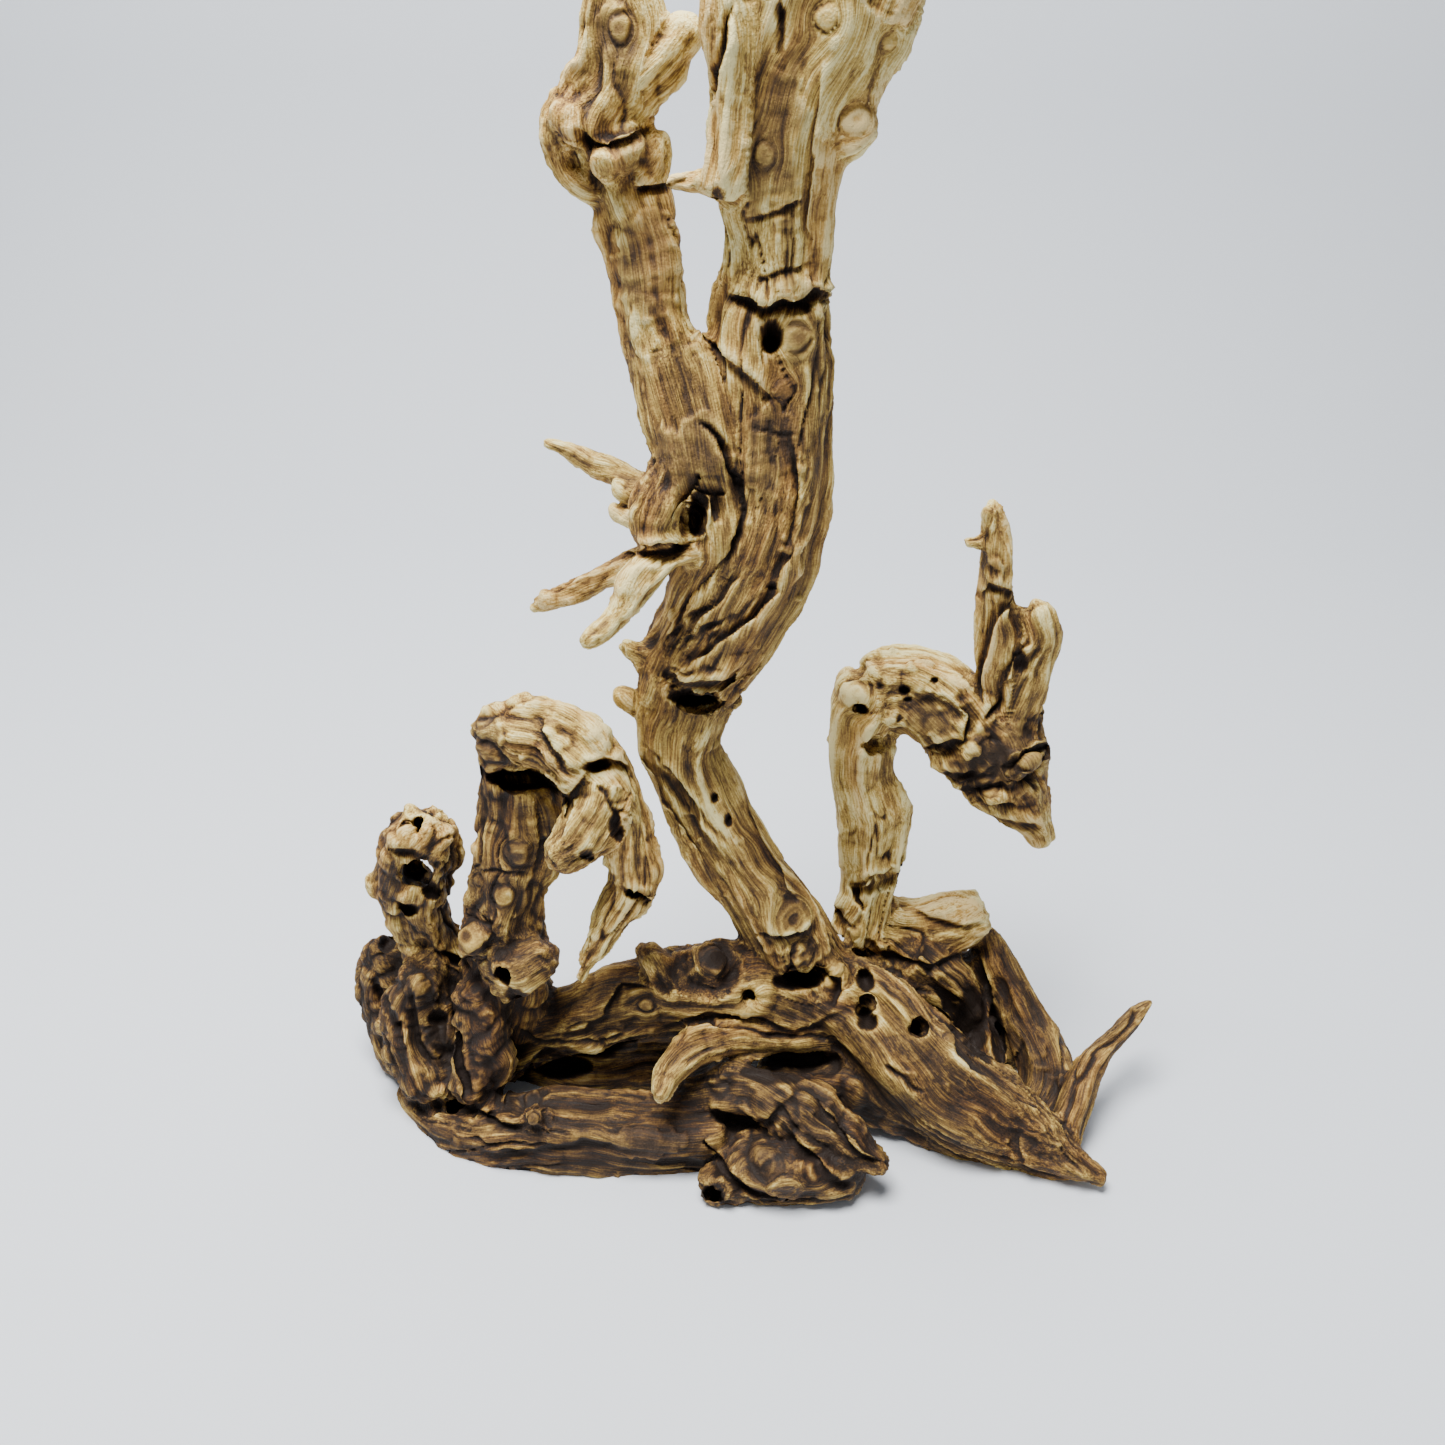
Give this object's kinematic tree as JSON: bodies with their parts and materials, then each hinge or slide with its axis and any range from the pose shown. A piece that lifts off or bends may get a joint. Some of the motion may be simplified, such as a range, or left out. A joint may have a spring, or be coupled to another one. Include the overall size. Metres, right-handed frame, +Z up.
{
  "type": "coral wood",
  "caption": "Weathered, many-branched piece of wood with knotted roots, an arch and a tall forked trunk, standing on its lowest roots.",
  "frame": {"origin": "middle of the footprint, on the surface that the wood stands on", "axes": "+Z up along the trunk, +X to the right as the wood is seen from the front, +Y to the back"},
  "size_m": [0.3129, 0.1445, 0.4484],
  "materials": {
    "straw_wood": "bare, weathered, pale",
    "ochre_wood": "bare, weathered, grained",
    "brown_wood": "bare, weathered, grained",
    "dark_wood": "bare, knotted, partly with bark"
  },
  "bodies": {
    "root": {"foot": "brown_wood", "trunk": "ochre_wood", "crown": "straw_wood", "left_fork": "ochre_wood", "arch_leg": "ochre_wood", "arch_head": "dark_wood", "horn": "ochre_wood", "right_root": "brown_wood", "middle_log": "brown_wood", "front_log": "brown_wood", "left_burl": "dark_wood", "small_tower": "dark_wood", "tower": "brown_wood", "crest": "straw_wood"}
  },
  "joints": []
}
